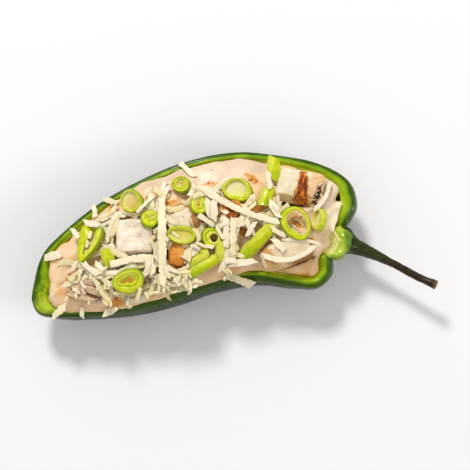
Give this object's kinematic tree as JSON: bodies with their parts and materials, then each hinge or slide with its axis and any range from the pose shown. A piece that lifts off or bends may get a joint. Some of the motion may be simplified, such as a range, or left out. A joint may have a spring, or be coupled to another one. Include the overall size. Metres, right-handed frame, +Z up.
{
  "type": "stuffed poblano pepper",
  "caption": "Halved green chilli pepper with its stem, cut side up, filled with a creamy mixture and heaped with shredded cheese, grilled chicken chunks and sliced scallions.",
  "frame": {"origin": "on the small flat spot of the belly that the pepper rests on, at table height", "axes": "+X from the blossom tip to the stem end, +Y towards the bulging far side, +Z up out of the cut side"},
  "size_m": [0.1804, 0.0809, 0.0425],
  "materials": {
    "pepper": "glossy dark green skin with a bright green cut rim",
    "core": "moist pale green flesh",
    "stem": "smooth dark green, browned towards the cut end",
    "filling": "smooth moist cream, pale pinkish beige",
    "chicken": "moist cooked chicken with browned grill bands",
    "cheese": "soft creamy white shreds",
    "scallion": "moist yellow-green slices with darker skins"
  },
  "bodies": {
    "root": {"pepper_shell": "pepper", "core": "core", "stem": "stem", "filling": "filling", "shredded_cheese": "cheese", "chicken_1": "chicken", "chicken_2": "chicken", "chicken_3": "chicken", "chicken_4": "chicken", "chicken_5": "chicken", "chicken_6": "chicken", "chicken_7": "chicken", "scallion_ring_01": "scallion", "scallion_ring_02": "scallion", "scallion_ring_03": "scallion", "scallion_ring_04": "scallion", "scallion_ring_05": "scallion", "scallion_ring_06": "scallion", "scallion_ring_07": "scallion", "scallion_ring_08": "scallion", "scallion_ring_09": "scallion", "scallion_ring_10": "scallion", "scallion_ring_11": "scallion", "scallion_strip_1": "scallion", "scallion_strip_2": "scallion", "scallion_strip_3": "scallion", "scallion_strip_4": "scallion", "scallion_strip_5": "scallion"}
  },
  "joints": []
}
